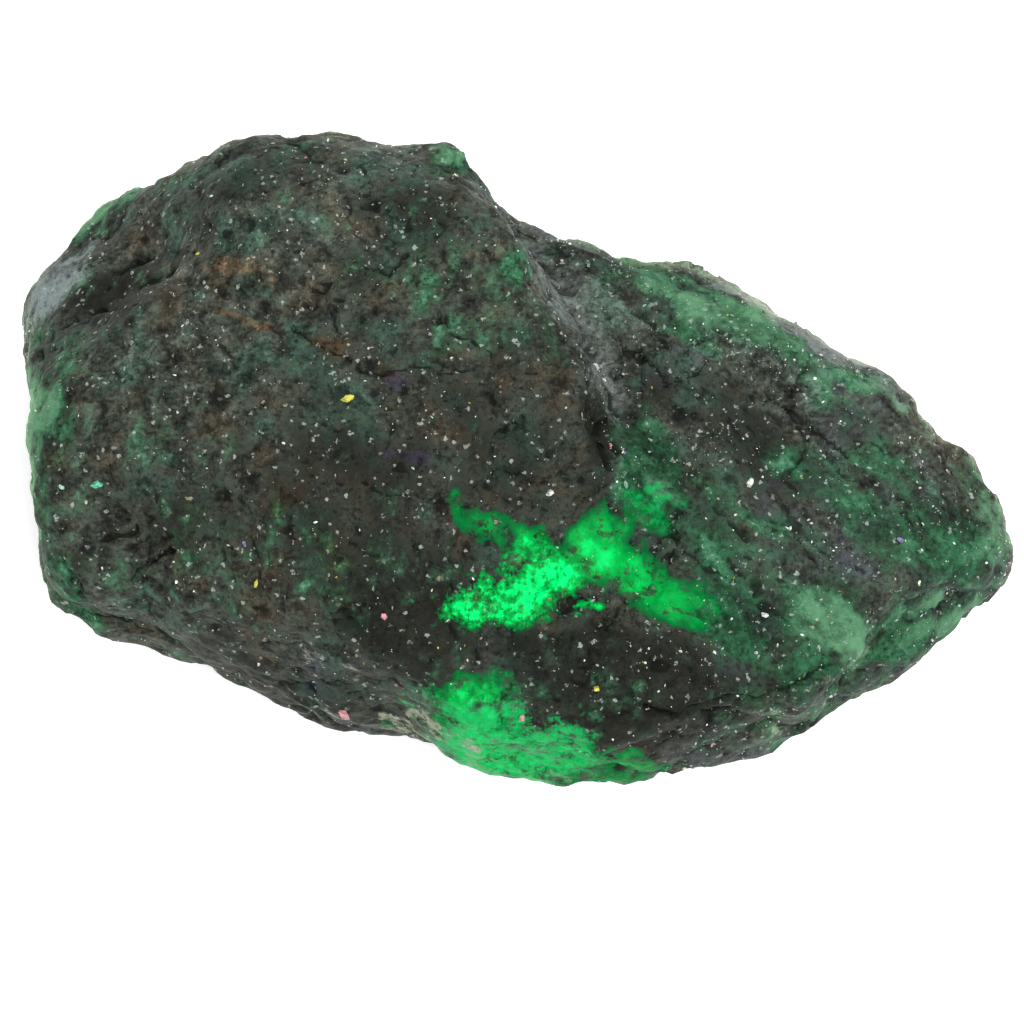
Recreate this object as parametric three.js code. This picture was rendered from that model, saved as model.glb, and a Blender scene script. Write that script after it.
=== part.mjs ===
// A rough emerald in its dark mica schist: one broken stone that lies on its cleavage face.
// Millimetres. +X runs along the stone, +Y to its back, +Z up, with the origin under its middle.
import * as THREE from "three";
import { ImprovedNoise } from "three/addons/math/ImprovedNoise.js";

// Driving dimensions.
const LENGTH = 70;
const DEPTH = 46;
const HEIGHT = 22.5;
const FACETS_PER_EDGE = 19; // the stone has 20 * (FACETS_PER_EDGE + 1)^2 triangles
const CORE = new THREE.Vector3(0, -1, 8); // every point of the surface is in plain sight of it
const CORE_RADII = new THREE.Vector3(36, 26, 14);
const WAIST_HEIGHT = 7; // the level at which the stone is widest
const WALL_BULGE = 80; // the wall's radius of curvature from the waist up, and down
const EDGE_ROUNDING = 2.2;
const OUTLINE_STEPS = 220;
const SEARCH_STEPS = 30; // halvings of a ray on its way to the surface
const REACH = 60; // longer than any ray from the core to the surface

// The plan outline at the waist, clockwise from the left end.
const OUTLINE = [
  [-35.5, 4], [-36, 12.4], [-34.9, 14.6], [-33.4, 16.8], [-31.5, 18.4], [-29.2, 19.8], [-26, 20.7],
  [-23.5, 21.6], [-21.5, 22.7], [-18.5, 23.3], [-15.5, 23.5], [-12.5, 23.2], [-9.5, 22.9],
  [-6.5, 22.2], [-4.9, 21.3], [-3.5, 19.8], [-2, 18], [-0.3, 16.7], [2.2, 15.5], [6, 14.6],
  [9.5, 13.7], [13, 13.5], [15.5, 12.2], [18, 10.3], [20.5, 8.5], [23.5, 6.1], [27, 4.1], [29, 2.1],
  [30.8, 0], [33, -0.8], [33.8, -3.5], [34.7, -6], [35.2, -8], [34.6, -10.1], [32.8, -12],
  [30.2, -14], [27.3, -15.6], [25, -16.6], [22.7, -18], [20.4, -20.5], [17, -21.5], [14, -22.5],
  [10, -23.1],
  [6.5, -23.4], [3, -23.4], [-1.5, -22.9], [-4, -22.4], [-6.5, -21], [-8.5, -20],
  [-11.5, -19.4], [-14, -18.6], [-16, -17.7], [-20, -16.3], [-24, -14.9], [-26.4, -13.7],
  [-29, -13.1], [-31, -12.2], [-33.2, -10.6], [-34.5, -8.4], [-34.8, -5.4], [-35.2, -0.5],
];

// The high lobe at the left end. Its right edge is the crest that runs across the stone, steep at
// the back, and it fades into a long slope towards the front.
const HIGH_LOBE = [
  [-40, -40], [-40, 30], [-8, 30], [-5, 23], [-3.5, 18.5], [-1.5, 14.5], [1, 11.5], [2.2, 8.5],
  [5, 2.5], [6.2, -1], [6.5, -3.5], [4, -6], [-1, -6.5], [-5, -9.5], [-6.5, -14], [-9, -40],
];

const CREST_WIDTH = 4; // in plan, at the back
const FADED_CREST_WIDTH = 15;
const CREST_FADES = [1, -7]; // between these two places along Y

// Steps in the top: where the stone stands higher (rise above 0) or has broken away (below 0).
const STEPS = [
  {
    name: "hollow over the clear emerald",
    rise: -0.9,
    ramp: 5,
    outline: [[-6, -14], [-5, -9], [-1.5, -6], [3, -6], [7, -6], [11, -8], [14.5, -11], [14, -14.5],
      [8.5, -14], [3, -15], [-4, -16]],
  },
  {
    name: "dark hump at the front",
    rise: 1.5,
    ramp: 4,
    outline: [[-0.5, -17.5], [3, -16], [7.5, -15], [11.5, -15.6], [15, -18], [17.5, -20.5],
      [13, -23], [6, -23], [1, -21]],
  },
  {
    name: "shelf under the front right edge",
    rise: -3.2,
    ramp: 3,
    outline: [[8.5, -24], [13, -22.3], [18, -21.3], [22, -19.2], [24.6, -16.5], [25.2, -13.8],
      [28, -12.5], [31.5, -11.5], [37, -9], [37, -26], [8.5, -27]],
  },
  {
    name: "notch behind the crest",
    rise: -1.4,
    ramp: 3,
    outline: [[-3, 24], [-1, 17], [2.5, 12], [4, 8], [7, 2.5], [8.5, -2], [7, -3.5], [5.5, 2],
      [2.5, 8], [-1, 14.5], [-4, 22]],
  },
  {
    name: "broken pocket near the left end",
    rise: -1.2,
    ramp: 3,
    outline: [[-31, 9], [-30, 12], [-26, 14.5], [-22, 13], [-22.5, 10], [-26, 8.5]],
  },
  {
    name: "pitted corner at the front left",
    rise: -2.6,
    ramp: 4,
    outline: [[-34, -8], [-30, -6.5], [-26, -8.5], [-24, -12], [-27, -15], [-34, -13]],
  },
];

// Cleavage planes as [height over the origin, slope along X, slope along Y].
const HIGH_PLANES = [
  [21.6, 0.03, -0.07],
  [23.2, 0.15, 0.02],
  [23.2, 0.05, 0.35],
  [31.5, 0.0, -0.72],
  [42, 0.75, -0.45],
];
const LOW_PLANES = [
  [17.4, -0.13, 0.05],
  [19.6, -0.16, -0.3],
  [26.2, -0.42, 0.12],
  [22.5, -0.1, 0.42],
];
const UNDER_PLANES = [
  [-2.6, 0.16, 0.08],
  [-2.4, -0.17, 0.12],
  [-4.2, 0.02, -0.3],
  [-3.4, -0.05, 0.24],
];

// The pale knob of emerald on the back edge.
const KNOB = { centre: new THREE.Vector3(-5.2, 19.4, 15), radius: 2.1 };

// Rough swells of the broken surface, as [wavelength, height].
const SWELLS = [
  [15, 0.7],
  [7, 0.5],
  [3.6, 0.28],
];
const LAYER_THICKNESS = 3.1; // of the schist's thicker layers, which stand out on the walls
const LAYER_RELIEF = 0.45;

const perlin = new ImprovedNoise();

/** The closed loop of short straight edges through the points. */
function closedLoop(points, steps) {
  const curve = new THREE.CatmullRomCurve3(
    points.map(([x, y]) => new THREE.Vector3(x, y, 0)),
    true,
    "centripetal",
  );
  return curve.getSpacedPoints(steps).slice(0, steps);
}

/** Distance from (x, y) to the loop: negative inside it. */
function distanceToLoop(x, y, loop) {
  let nearest = Infinity;
  let inside = false;
  for (let i = 0; i < loop.length; i++) {
    const a = loop[i];
    const b = loop[(i + 1) % loop.length];
    const [dx, dy] = [b.x - a.x, b.y - a.y];
    const along = ((x - a.x) * dx + (y - a.y) * dy) / (dx * dx + dy * dy);
    const t = THREE.MathUtils.clamp(along, 0, 1);
    nearest = Math.min(nearest, Math.hypot(x - a.x - t * dx, y - a.y - t * dy));
    const crosses = a.y > y !== b.y > y;
    if (crosses && x < a.x + ((y - a.y) * dx) / dy) inside = !inside;
  }
  return inside ? -nearest : nearest;
}

/** The smaller of two values, rounded over the given width where they meet. */
function softMin(a, b, width) {
  const share = Math.max(width - Math.abs(a - b), 0) / width;
  return Math.min(a, b) - (share * share * width) / 4;
}

function softMax(a, b, width) {
  return -softMin(-a, -b, width);
}

/** The lowest of several planes over (x, y), with soft creases between them. */
function lowestPlane(planes, x, y, width) {
  return planes
    .map(([height, alongX, alongY]) => height + alongX * x + alongY * y)
    .reduce((a, b) => softMin(a, b, width));
}

const outline = closedLoop(OUTLINE, OUTLINE_STEPS);
const highLobe = closedLoop(HIGH_LOBE, 80);
const steps = STEPS.map((step) => ({ ...step, loop: closedLoop(step.outline, 60) }));

/** 1 inside the loop, 0 outside it, with a ramp of the given width centred on it. */
function insideShare(x, y, loop, ramp) {
  return 1 - THREE.MathUtils.smoothstep(distanceToLoop(x, y, loop), -ramp / 2, ramp / 2);
}

function topHeight(x, y) {
  const high = lowestPlane(HIGH_PLANES, x, y, 1);
  const low = lowestPlane(LOW_PLANES, x, y, 1);
  const faded = 1 - THREE.MathUtils.smoothstep(y, CREST_FADES[1], CREST_FADES[0]);
  const width = THREE.MathUtils.lerp(CREST_WIDTH, FADED_CREST_WIDTH, faded);
  let height = THREE.MathUtils.lerp(low, high, insideShare(x, y, highLobe, width));
  for (const { rise, ramp, loop } of steps) height += rise * insideShare(x, y, loop, ramp);
  return height;
}

function underHeight(x, y) {
  return -lowestPlane(
    UNDER_PLANES.map(([height, alongX, alongY]) => [-height, alongX, alongY]),
    x,
    y,
    1,
  );
}

/** Broken-stone relief at a point, in millimetres out of the surface. */
function relief(p) {
  return SWELLS.reduce(
    (sum, [wavelength, height], i) =>
      sum + height * perlin.noise(p.x / wavelength + 9 * i, p.y / wavelength, p.z / wavelength),
    0,
  );
}

/** Negative inside the stone, positive outside it. */
function stoneField(p) {
  const level = p.z - WAIST_HEIGHT;
  const layers = LAYER_RELIEF * perlin.noise(p.x / 14, p.y / 14, p.z / LAYER_THICKNESS);
  const wall = distanceToLoop(p.x, p.y, outline) + (level * level) / WALL_BULGE - layers;
  const slab = softMax(p.z - topHeight(p.x, p.y), underHeight(p.x, p.y) - p.z, 1);
  const stone = softMax(slab, wall, EDGE_ROUNDING) - relief(p);
  const knob = p.distanceTo(KNOB.centre) - KNOB.radius;
  return softMin(stone, knob, 0.8);
}

/** The point of the surface that the core sees in the given direction. */
function surfacePoint(direction) {
  const point = new THREE.Vector3();
  let [near, far] = [0, REACH];
  for (let i = 0; i < SEARCH_STEPS; i++) {
    const middle = (near + far) / 2;
    point.copy(direction).multiplyScalar(middle).add(CORE);
    if (stoneField(point) < 0) near = middle;
    else far = middle;
  }
  point.z = Math.max(point.z, 0); // the cleavage face that the stone lies on
  return point;
}

/** The stone's closed surface, one point for each of a geodesic ball's. */
function stoneGeometry() {
  const geometry = new THREE.IcosahedronGeometry(1, FACETS_PER_EDGE);
  geometry.deleteAttribute("normal");
  geometry.deleteAttribute("uv");
  const position = geometry.getAttribute("position");
  const direction = new THREE.Vector3();
  const found = new Map(); // a corner shared by several triangles is worked out once
  for (let i = 0; i < position.count; i++) {
    direction.fromBufferAttribute(position, i);
    const key = direction.toArray().map((v) => v.toFixed(5)).join();
    if (!found.has(key)) found.set(key, surfacePoint(direction.multiply(CORE_RADII).normalize()));
    position.setXYZ(i, ...found.get(key));
  }
  return geometry;
}

/** Scales the stone to its driving dimensions and stands its middle over the origin. */
function toSize(geometry) {
  geometry.computeBoundingBox();
  const box = geometry.boundingBox;
  const size = box.getSize(new THREE.Vector3());
  const middle = box.getCenter(new THREE.Vector3());
  geometry.translate(-middle.x, -middle.y, -box.min.z);
  geometry.scale(LENGTH / size.x, DEPTH / size.y, HEIGHT / size.z);
  geometry.computeVertexNormals();
  return geometry;
}

const schist = new THREE.MeshStandardMaterial({ color: 0x2f3d33, roughness: 0.62, metalness: 0 });

const emeraldRough = new THREE.Mesh(toSize(stoneGeometry()), schist);
emeraldRough.name = "emerald_rough";

const stone = new THREE.Group();
stone.add(emeraldRough);

export default stone;
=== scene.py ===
"""A rough emerald in dark mica schist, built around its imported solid.

The stone is one piece. Its surface is worked from a copy of the solid: chips, layers, cracks,
pits and the granular crust of clear emerald. Loose grains of mica and quartz lie on it as a
second joined mesh. Lengths inside the modelling code are millimetres, and meshes are metres.
"""

import logging
import math
from dataclasses import dataclass, field
from enum import Enum
from typing import Callable, Sequence

import bpy
import numpy as np
from mathutils import Euler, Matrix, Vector, noise


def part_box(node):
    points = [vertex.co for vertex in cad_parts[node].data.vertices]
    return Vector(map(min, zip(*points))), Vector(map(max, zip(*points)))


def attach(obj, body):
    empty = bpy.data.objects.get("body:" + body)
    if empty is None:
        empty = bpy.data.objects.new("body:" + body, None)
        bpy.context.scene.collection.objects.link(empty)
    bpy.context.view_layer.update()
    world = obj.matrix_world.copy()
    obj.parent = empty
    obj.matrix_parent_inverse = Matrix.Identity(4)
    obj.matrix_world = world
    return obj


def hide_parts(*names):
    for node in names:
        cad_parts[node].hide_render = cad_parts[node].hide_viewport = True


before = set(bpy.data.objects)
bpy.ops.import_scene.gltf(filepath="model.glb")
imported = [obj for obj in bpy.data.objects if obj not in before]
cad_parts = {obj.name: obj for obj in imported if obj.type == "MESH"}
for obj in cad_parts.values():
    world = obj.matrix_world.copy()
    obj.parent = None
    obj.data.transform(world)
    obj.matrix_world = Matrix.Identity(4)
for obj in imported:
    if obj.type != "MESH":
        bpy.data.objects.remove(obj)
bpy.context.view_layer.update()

LOG = logging.getLogger("rough_emerald")
MM = 0.001

Colour = tuple[float, float, float]
Array = np.ndarray


# ---------------------------------------------------------------------------------------------
# Small mesh tools
# ---------------------------------------------------------------------------------------------


def deselect_all() -> None:
    """Leaves nothing selected."""
    bpy.ops.object.select_all(action="DESELECT")


def make_active(piece: bpy.types.Object) -> None:
    """Selects one piece alone and makes it the active one.

    Args:
        piece: The object that the next operators act on.
    """
    deselect_all()
    piece.select_set(True)
    bpy.context.view_layer.objects.active = piece


def apply_modifier(piece: bpy.types.Object, kind: str, **settings: object) -> None:
    """Adds a modifier to a piece and applies it.

    Args:
        piece: The object to change.
        kind: The modifier's type.
        settings: The modifier's own values.
    """
    make_active(piece)
    modifier = piece.modifiers.new(kind.lower(), kind)
    for name, value in settings.items():
        setattr(modifier, name, value)
    bpy.ops.object.modifier_apply(modifier=modifier.name)


def vertex_places(piece: bpy.types.Object) -> Array:
    """The piece's vertices in millimetres.

    Args:
        piece: The object to read.

    Returns:
        One row for each vertex.
    """
    places = np.empty(len(piece.data.vertices) * 3, np.float32)
    piece.data.vertices.foreach_get("co", places)
    return places.reshape(-1, 3).astype(float) / MM


def vertex_normals(piece: bpy.types.Object) -> Array:
    """The piece's vertex normals.

    Args:
        piece: The object to read.

    Returns:
        One row for each vertex.
    """
    normals = np.empty(len(piece.data.vertices) * 3, np.float32)
    piece.data.vertex_normals.foreach_get("vector", normals)
    return normals.reshape(-1, 3).astype(float)


def move_vertices(piece: bpy.types.Object, places: Array) -> None:
    """Puts the piece's vertices at new places.

    Args:
        piece: The object to change.
        places: The new places in millimetres, one row each.
    """
    piece.data.vertices.foreach_set("co", (places * MM).astype(np.float32).ravel())
    piece.data.update()


def store(piece: bpy.types.Object, name: str, values: Array) -> None:
    """Keeps one number for each vertex as an attribute.

    Args:
        piece: The object that gets the attribute.
        name: The attribute's name.
        values: One number for each vertex.
    """
    attribute = piece.data.attributes.new(name, "FLOAT", "POINT")
    attribute.data.foreach_set("value", values.astype(np.float32))


def smooth_step(values: Array, low: float, high: float) -> Array:
    """0 below low, 1 above high and a smooth rise between them."""
    share = np.clip((values - low) / (high - low), 0.0, 1.0)
    return share * share * (3.0 - 2.0 * share)


# ---------------------------------------------------------------------------------------------
# Fields over space
# ---------------------------------------------------------------------------------------------


def sample(places: Array, function: Callable[[Vector], float]) -> Array:
    """One number for each place, from a function of a vector."""
    return np.fromiter((function(Vector(p)) for p in places), float, len(places))


def clouds(places: Array, wavelength: float, octaves: int = 3, offset: float = 0.0) -> Array:
    """Soft random swells, about -1 to 1.

    Args:
        places: Points in millimetres.
        wavelength: The size of the largest swells, in millimetres.
        octaves: How many finer layers are added.
        offset: Moves the pattern, so that two fields differ.

    Returns:
        One number for each place.
    """
    return sample(places / wavelength + offset, lambda p: noise.fractal(p, 0.9, 2.1, octaves))


def meander(places: Array, wavelength: float, octaves: int, offset: float) -> Array:
    """A soft random shift of each place, which bends the patterns that are read after it.

    Args:
        places: Points in millimetres.
        wavelength: The size of the largest bends, in millimetres.
        octaves: How many finer layers are added.
        offset: Moves the pattern, so that two fields differ.

    Returns:
        One shift of about a millimetre for each place.
    """
    return np.column_stack(
        [clouds(places, wavelength, octaves, offset + turn) for turn in (0.0, 10.0, 20.0)]
    )


def ridges(places: Array, wavelength: float, octaves: int = 3, offset: float = 0.0) -> Array:
    """Sharp-crested swells, about -1 to 1, laid out as in clouds."""
    swell = clouds(places, wavelength, octaves, offset)
    return 1.0 - 2.0 * np.sqrt(np.abs(np.clip(swell, -1, 1)))


def stretched(places: Array, turn: float, stretch: float) -> Array:
    """The places squeezed along one direction in plan, so that a pattern on them runs that way.

    Args:
        places: Points in millimetres.
        turn: The direction of the streaks in degrees from +X.
        stretch: How many times longer than wide the streaks are.

    Returns:
        The squeezed places.
    """
    cos, sin = math.cos(math.radians(turn)), math.sin(math.radians(turn))
    along = places[:, 0] * cos + places[:, 1] * sin
    across = places[:, 1] * cos - places[:, 0] * sin
    return np.column_stack((along / stretch, across, places[:, 2]))


def chips(places: Array, size: float, tilt: float, offset: float = 0.0) -> Array:
    """The height of conchoidal chips: many small tilted faces that meet in creases.

    Args:
        places: Points in millimetres.
        size: The width of a chip in millimetres.
        tilt: The steepest slope of a chip.
        offset: Moves the pattern.

    Returns:
        One height in millimetres for each place.
    """

    def height(p: Vector) -> float:
        """The relief at one point, before it is scaled."""
        distances, centres = noise.voronoi(p)
        return max(
            tilt * (noise.cell_vector(c * 7.3) - HALF).dot(p - c) - 0.55 * tilt * d * d
            for d, c in zip(distances[:3], centres[:3])
        )

    heights = sample(places / size + offset, height)
    return size * (heights - heights.mean())


HALF = Vector((0.5, 0.5, 0.5))


def terraces(heights: Array, step: float, riser: float) -> Array:
    """Turns a soft field into flat treads with steep risers.

    Args:
        heights: The soft field.
        step: The height of one riser.
        riser: The share of a step that rises.

    Returns:
        The stepped field.
    """
    level = np.floor(heights / step)
    rest = heights / step - level
    return (level + smooth_step(rest, 0.5 - riser / 2, 0.5 + riser / 2)) * step


# ---------------------------------------------------------------------------------------------
# Places on the stone
# ---------------------------------------------------------------------------------------------


@dataclass(frozen=True)
class StoneBox:
    """The stone's box in millimetres, in which features are placed by shares.

    A share of -1 is the stone's left end or its front, and 1 its right end or its back.
    """

    low: Vector
    high: Vector

    @classmethod
    def of_node(cls, name: str) -> "StoneBox":
        """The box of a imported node."""
        low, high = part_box(name)
        return cls(low / MM, high / MM)

    @property
    def half_length(self) -> float:
        """Half the stone's length."""
        return (self.high.x - self.low.x) / 2

    @property
    def half_depth(self) -> float:
        """Half the stone's depth."""
        return (self.high.y - self.low.y) / 2

    @property
    def height(self) -> float:
        """The stone's height."""
        return self.high.z - self.low.z

    def plan(self, along: float, across: float) -> tuple[float, float]:
        """The plan position of a pair of shares."""
        return (
            (self.high.x + self.low.x) / 2 + along * self.half_length,
            (self.high.y + self.low.y) / 2 + across * self.half_depth,
        )


@dataclass(frozen=True)
class Patch:
    """A soft oval seen from above.

    Attributes:
        along: Its middle, as a share of the half length.
        across: Its middle, as a share of the half depth.
        reach: Its half length in millimetres.
        spread: Its half width in millimetres.
        turn: The direction of its length in degrees.
        strength: Its value in the middle.
    """

    along: float
    across: float
    reach: float
    spread: float
    turn: float = 0.0
    strength: float = 1.0

    def over(self, places: Array, box: StoneBox) -> Array:
        """The patch's value at each place.

        Args:
            places: Points in millimetres.
            box: The stone's box.

        Returns:
            One value for each place.
        """
        x, y = box.plan(self.along, self.across)
        cos, sin = math.cos(math.radians(self.turn)), math.sin(math.radians(self.turn))
        dx, dy = places[:, 0] - x, places[:, 1] - y
        length = (dx * cos + dy * sin) / self.reach
        width = (dy * cos - dx * sin) / self.spread
        return self.strength * np.exp(-0.8 * (length**2 + width**2) ** 1.5)


def painted(patches: Sequence[Patch], places: Array, box: StoneBox) -> Array:
    """The strongest of several patches at each place, rounded a little where they meet.

    Args:
        patches: The patches.
        places: Points in millimetres.
        box: The stone's box.

    Returns:
        One value for each place.
    """
    total = np.zeros(len(places))
    for patch in patches:
        total += patch.over(places, box) ** 4
    return total**0.25


@dataclass(frozen=True)
class Line:
    """A line drawn on the stone from above, by shares of its half length and half depth.

    Attributes:
        shares: The line's points, in order.
        width: Half the width of what follows the line, in millimetres.
        depth: How deep a crack is, how high a ledge's left side stands over its right, or how
            strong a rim is.
    """

    shares: tuple[tuple[float, float], ...]
    width: float
    depth: float

    def distance(self, places: Array, box: StoneBox) -> tuple[Array, Array]:
        """How far each place is from the line in plan.

        Args:
            places: Points in millimetres.
            box: The stone's box.

        Returns:
            The distance, and the same with a sign: positive to the left of the line.
        """
        points = [box.plan(*share) for share in self.shares]
        nearest = np.full(len(places), np.inf)
        signed = np.full(len(places), np.inf)
        for (ax, ay), (bx, by) in zip(points, points[1:]):
            dx, dy = bx - ax, by - ay
            px, py = places[:, 0] - ax, places[:, 1] - ay
            share = np.clip((px * dx + py * dy) / (dx * dx + dy * dy), 0, 1)
            gap = np.hypot(px - share * dx, py - share * dy)
            side = np.sign(dx * py - dy * px)
            closer = gap < nearest
            nearest = np.where(closer, gap, nearest)
            signed = np.where(closer, gap * side, signed)
        return nearest, signed


CRACKS = (
    Line(((-0.44, 0.2), (-0.37, 0.15), (-0.3, 0.07), (-0.25, 0.04)), 0.2, 0.45),
    Line(((-0.25, 0.04), (-0.18, 0.07), (-0.1, 0.06)), 0.14, 0.25),
    Line(((-0.37, 0.33), (-0.35, 0.25), (-0.34, 0.16)), 0.2, 0.35),
    Line(((-0.8, -0.38), (-0.74, -0.35)), 0.2, 0.5),
    Line(((-0.74, -0.5), (-0.7, -0.45), (-0.67, -0.43)), 0.22, 0.6),
    Line(((-0.88, -0.45), (-0.84, -0.56), (-0.76, -0.62), (-0.7, -0.66)), 0.25, 0.8),
    Line(((0.155, 0.05), (0.175, -0.08), (0.19, -0.2)), 0.35, 0.5),
    Line(((0.2, 0.26), (0.28, 0.16), (0.3, 0.1), (0.36, 0.14), (0.4, 0.2)), 0.18, 0.4),
    Line(((0.28, 0.32), (0.34, 0.24), (0.4, 0.26)), 0.16, 0.3),
    Line(((0.5, 0.1), (0.58, 0.0), (0.66, -0.1)), 0.2, 0.3),
    Line(((0.34, -0.42), (0.44, -0.5), (0.5, -0.58)), 0.16, 0.2),
    Line(((-0.14, 0.24), (-0.12, 0.18), (-0.05, 0.12)), 0.2, 0.3),
    Line(((-0.56, -0.72), (-0.42, -0.74), (-0.3, -0.8)), 0.2, 0.3),
    Line(((0.26, -0.9), (0.36, -0.88), (0.5, -0.84), (0.62, -0.74)), 0.3, 0.6),
    Line(((-0.3, -0.28), (-0.2, -0.33), (-0.1, -0.32)), 0.14, 0.2),
)
# Where the walls stand out or stand back, by the patch's strength in millimetres.
BULGES = (
    Patch(-0.9, -0.5, 4.0, 3.0, -50, 0.75),
    Patch(-0.8, -0.66, 3.0, 2.0, -30, 0.15),
    Patch(-0.68, 0.92, 3.6, 2.2, 25, -0.5),
    Patch(-0.45, 0.98, 3.0, 2.0, 0, -0.1),
    Patch(-0.23, 0.93, 3.6, 2.2, -8, -0.25),
    Patch(-0.89, 0.68, 2.4, 2.2, 45, -0.4),
    Patch(0.9, -0.04, 2.2, 2.2, 0, -0.35),
    Patch(0.5, -0.92, 2.2, 2.2, 0, 0.35),
    Patch(0.8, 0.13, 2.4, 2.0, -35, 0.3),
    Patch(0.47, 0.45, 4.2, 2.2, -35, 0.45),
    Patch(0.75, -0.68, 4.2, 2.2, 35, 0.45),
    Patch(-0.25, -0.93, 2.2, 2.4, 0, -0.8),
    Patch(-0.38, -0.88, 2.0, 2.2, 0, 0.65),
    Patch(-0.63, -0.76, 2.6, 2.2, -20, 0.85),
    Patch(-1.0, 0.12, 2.0, 3.5, 0, 0.45),
    Patch(0.03, -1.0, 4.0, 2.0, 0, -0.25),
    Patch(0.98, -0.25, 1.8, 2.6, 0, 0.45),
    Patch(0.3, -1.0, 4.0, 2.0, 0, 0.4),
    Patch(0.57, -0.84, 1.4, 2.0, 0, 0.4),
)
# Whitish crumbs along broken rims. Along the lower front rims they also paint light that leaks
# up from below.
FROSTED_AND_LIT_RIMS = (
    Line(((-0.26, -0.82), (-0.2, -0.85), (-0.14, -0.9)), 0.25, 0.7),
    Line(((-0.14, -0.91), (-0.06, -0.95), (0.01, -0.98), (0.12, -1.0), (0.25, -1.0)), 0.2, 0.48),
    Line(((0.4, -0.91), (0.51, -0.87), (0.63, -0.77), (0.69, -0.68), (0.7, -0.58)), 0.3, 0.42),
    Line(((0.02, 0.66), (0.09, 0.5), (0.14, 0.34), (0.18, 0.17), (0.2, 0.04)), 1.6, 0.15),
    Line(((-0.42, -0.7), (-0.36, -0.74), (-0.3, -0.78)), 0.25, 0.5),
    Line(((-0.98, 0.3), (-0.99, 0.0), (-0.97, -0.3)), 0.5, 0.5),
)
# The crest between the lobes, drawn past both walls.
CREST = Line(
    ((0.33, -1.3), (0.3, -1.0), (0.19, -0.28), (0.16, -0.08), (0.14, 0.06), (0.1, 0.2),
     (0.06, 0.38), (-0.02, 0.66), (-0.12, 1.0), (-0.2, 1.35)), 0.9, 0.6,
)
LEDGES = (
    Line(CREST.shares[2:], CREST.width, CREST.depth),
    Line(((0.2, -0.95), (0.36, -0.9), (0.52, -0.86), (0.63, -0.76), (0.69, -0.66), (0.71, -0.56),
          (0.77, -0.5), (0.9, -0.44)), 0.35, 1.0),
)
PITS = (
    Patch(-0.375, 0.34, 0.6, 0.35, 15, 0.6),
    Patch(-0.34, 0.3, 0.4, 0.25, -30, 0.4),
    Patch(-0.14, 0.22, 0.5, 0.35, 0, 0.8),
    Patch(-0.76, 0.53, 1.6, 0.4, 10, 0.55),
    Patch(-0.8, 0.36, 1.4, 0.4, -5, 0.45),
    Patch(-0.88, 0.34, 1.0, 0.4, 10, 0.4),
    Patch(-0.7, 0.43, 1.3, 0.35, 25, 0.4),
    Patch(0.17, -0.1, 1.0, 1.8, 10, 0.6),
    Patch(0.15, 0.2, 0.8, 0.6, 40, 0.4),
    Patch(-0.83, -0.42, 1.1, 0.5, 20, 0.4),
    Patch(0.11, -0.58, 0.8, 0.45, 30, 0.6),
    Patch(0.06, -0.39, 0.35, 0.25, 0, 0.6),
)


class Zone(Enum):
    """What the stone is made of or stained with from place to place, and where glow, light and
    shade are painted on it. The value names the attribute that holds it."""

    EMERALD = "emerald"
    # Where a glow of light through the emerald is painted; its granular crust is also raised
    # there.
    CLEAR = "clear_emerald"
    CRUST = "granular_crust"
    PALE = "pale_skin"
    RUST = "rust"
    MICA_AND_SHADE = "dark_mica"
    GREY = "grey_facet"
    VIOLET = "violet_film"
    FROST = "frost"


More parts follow.
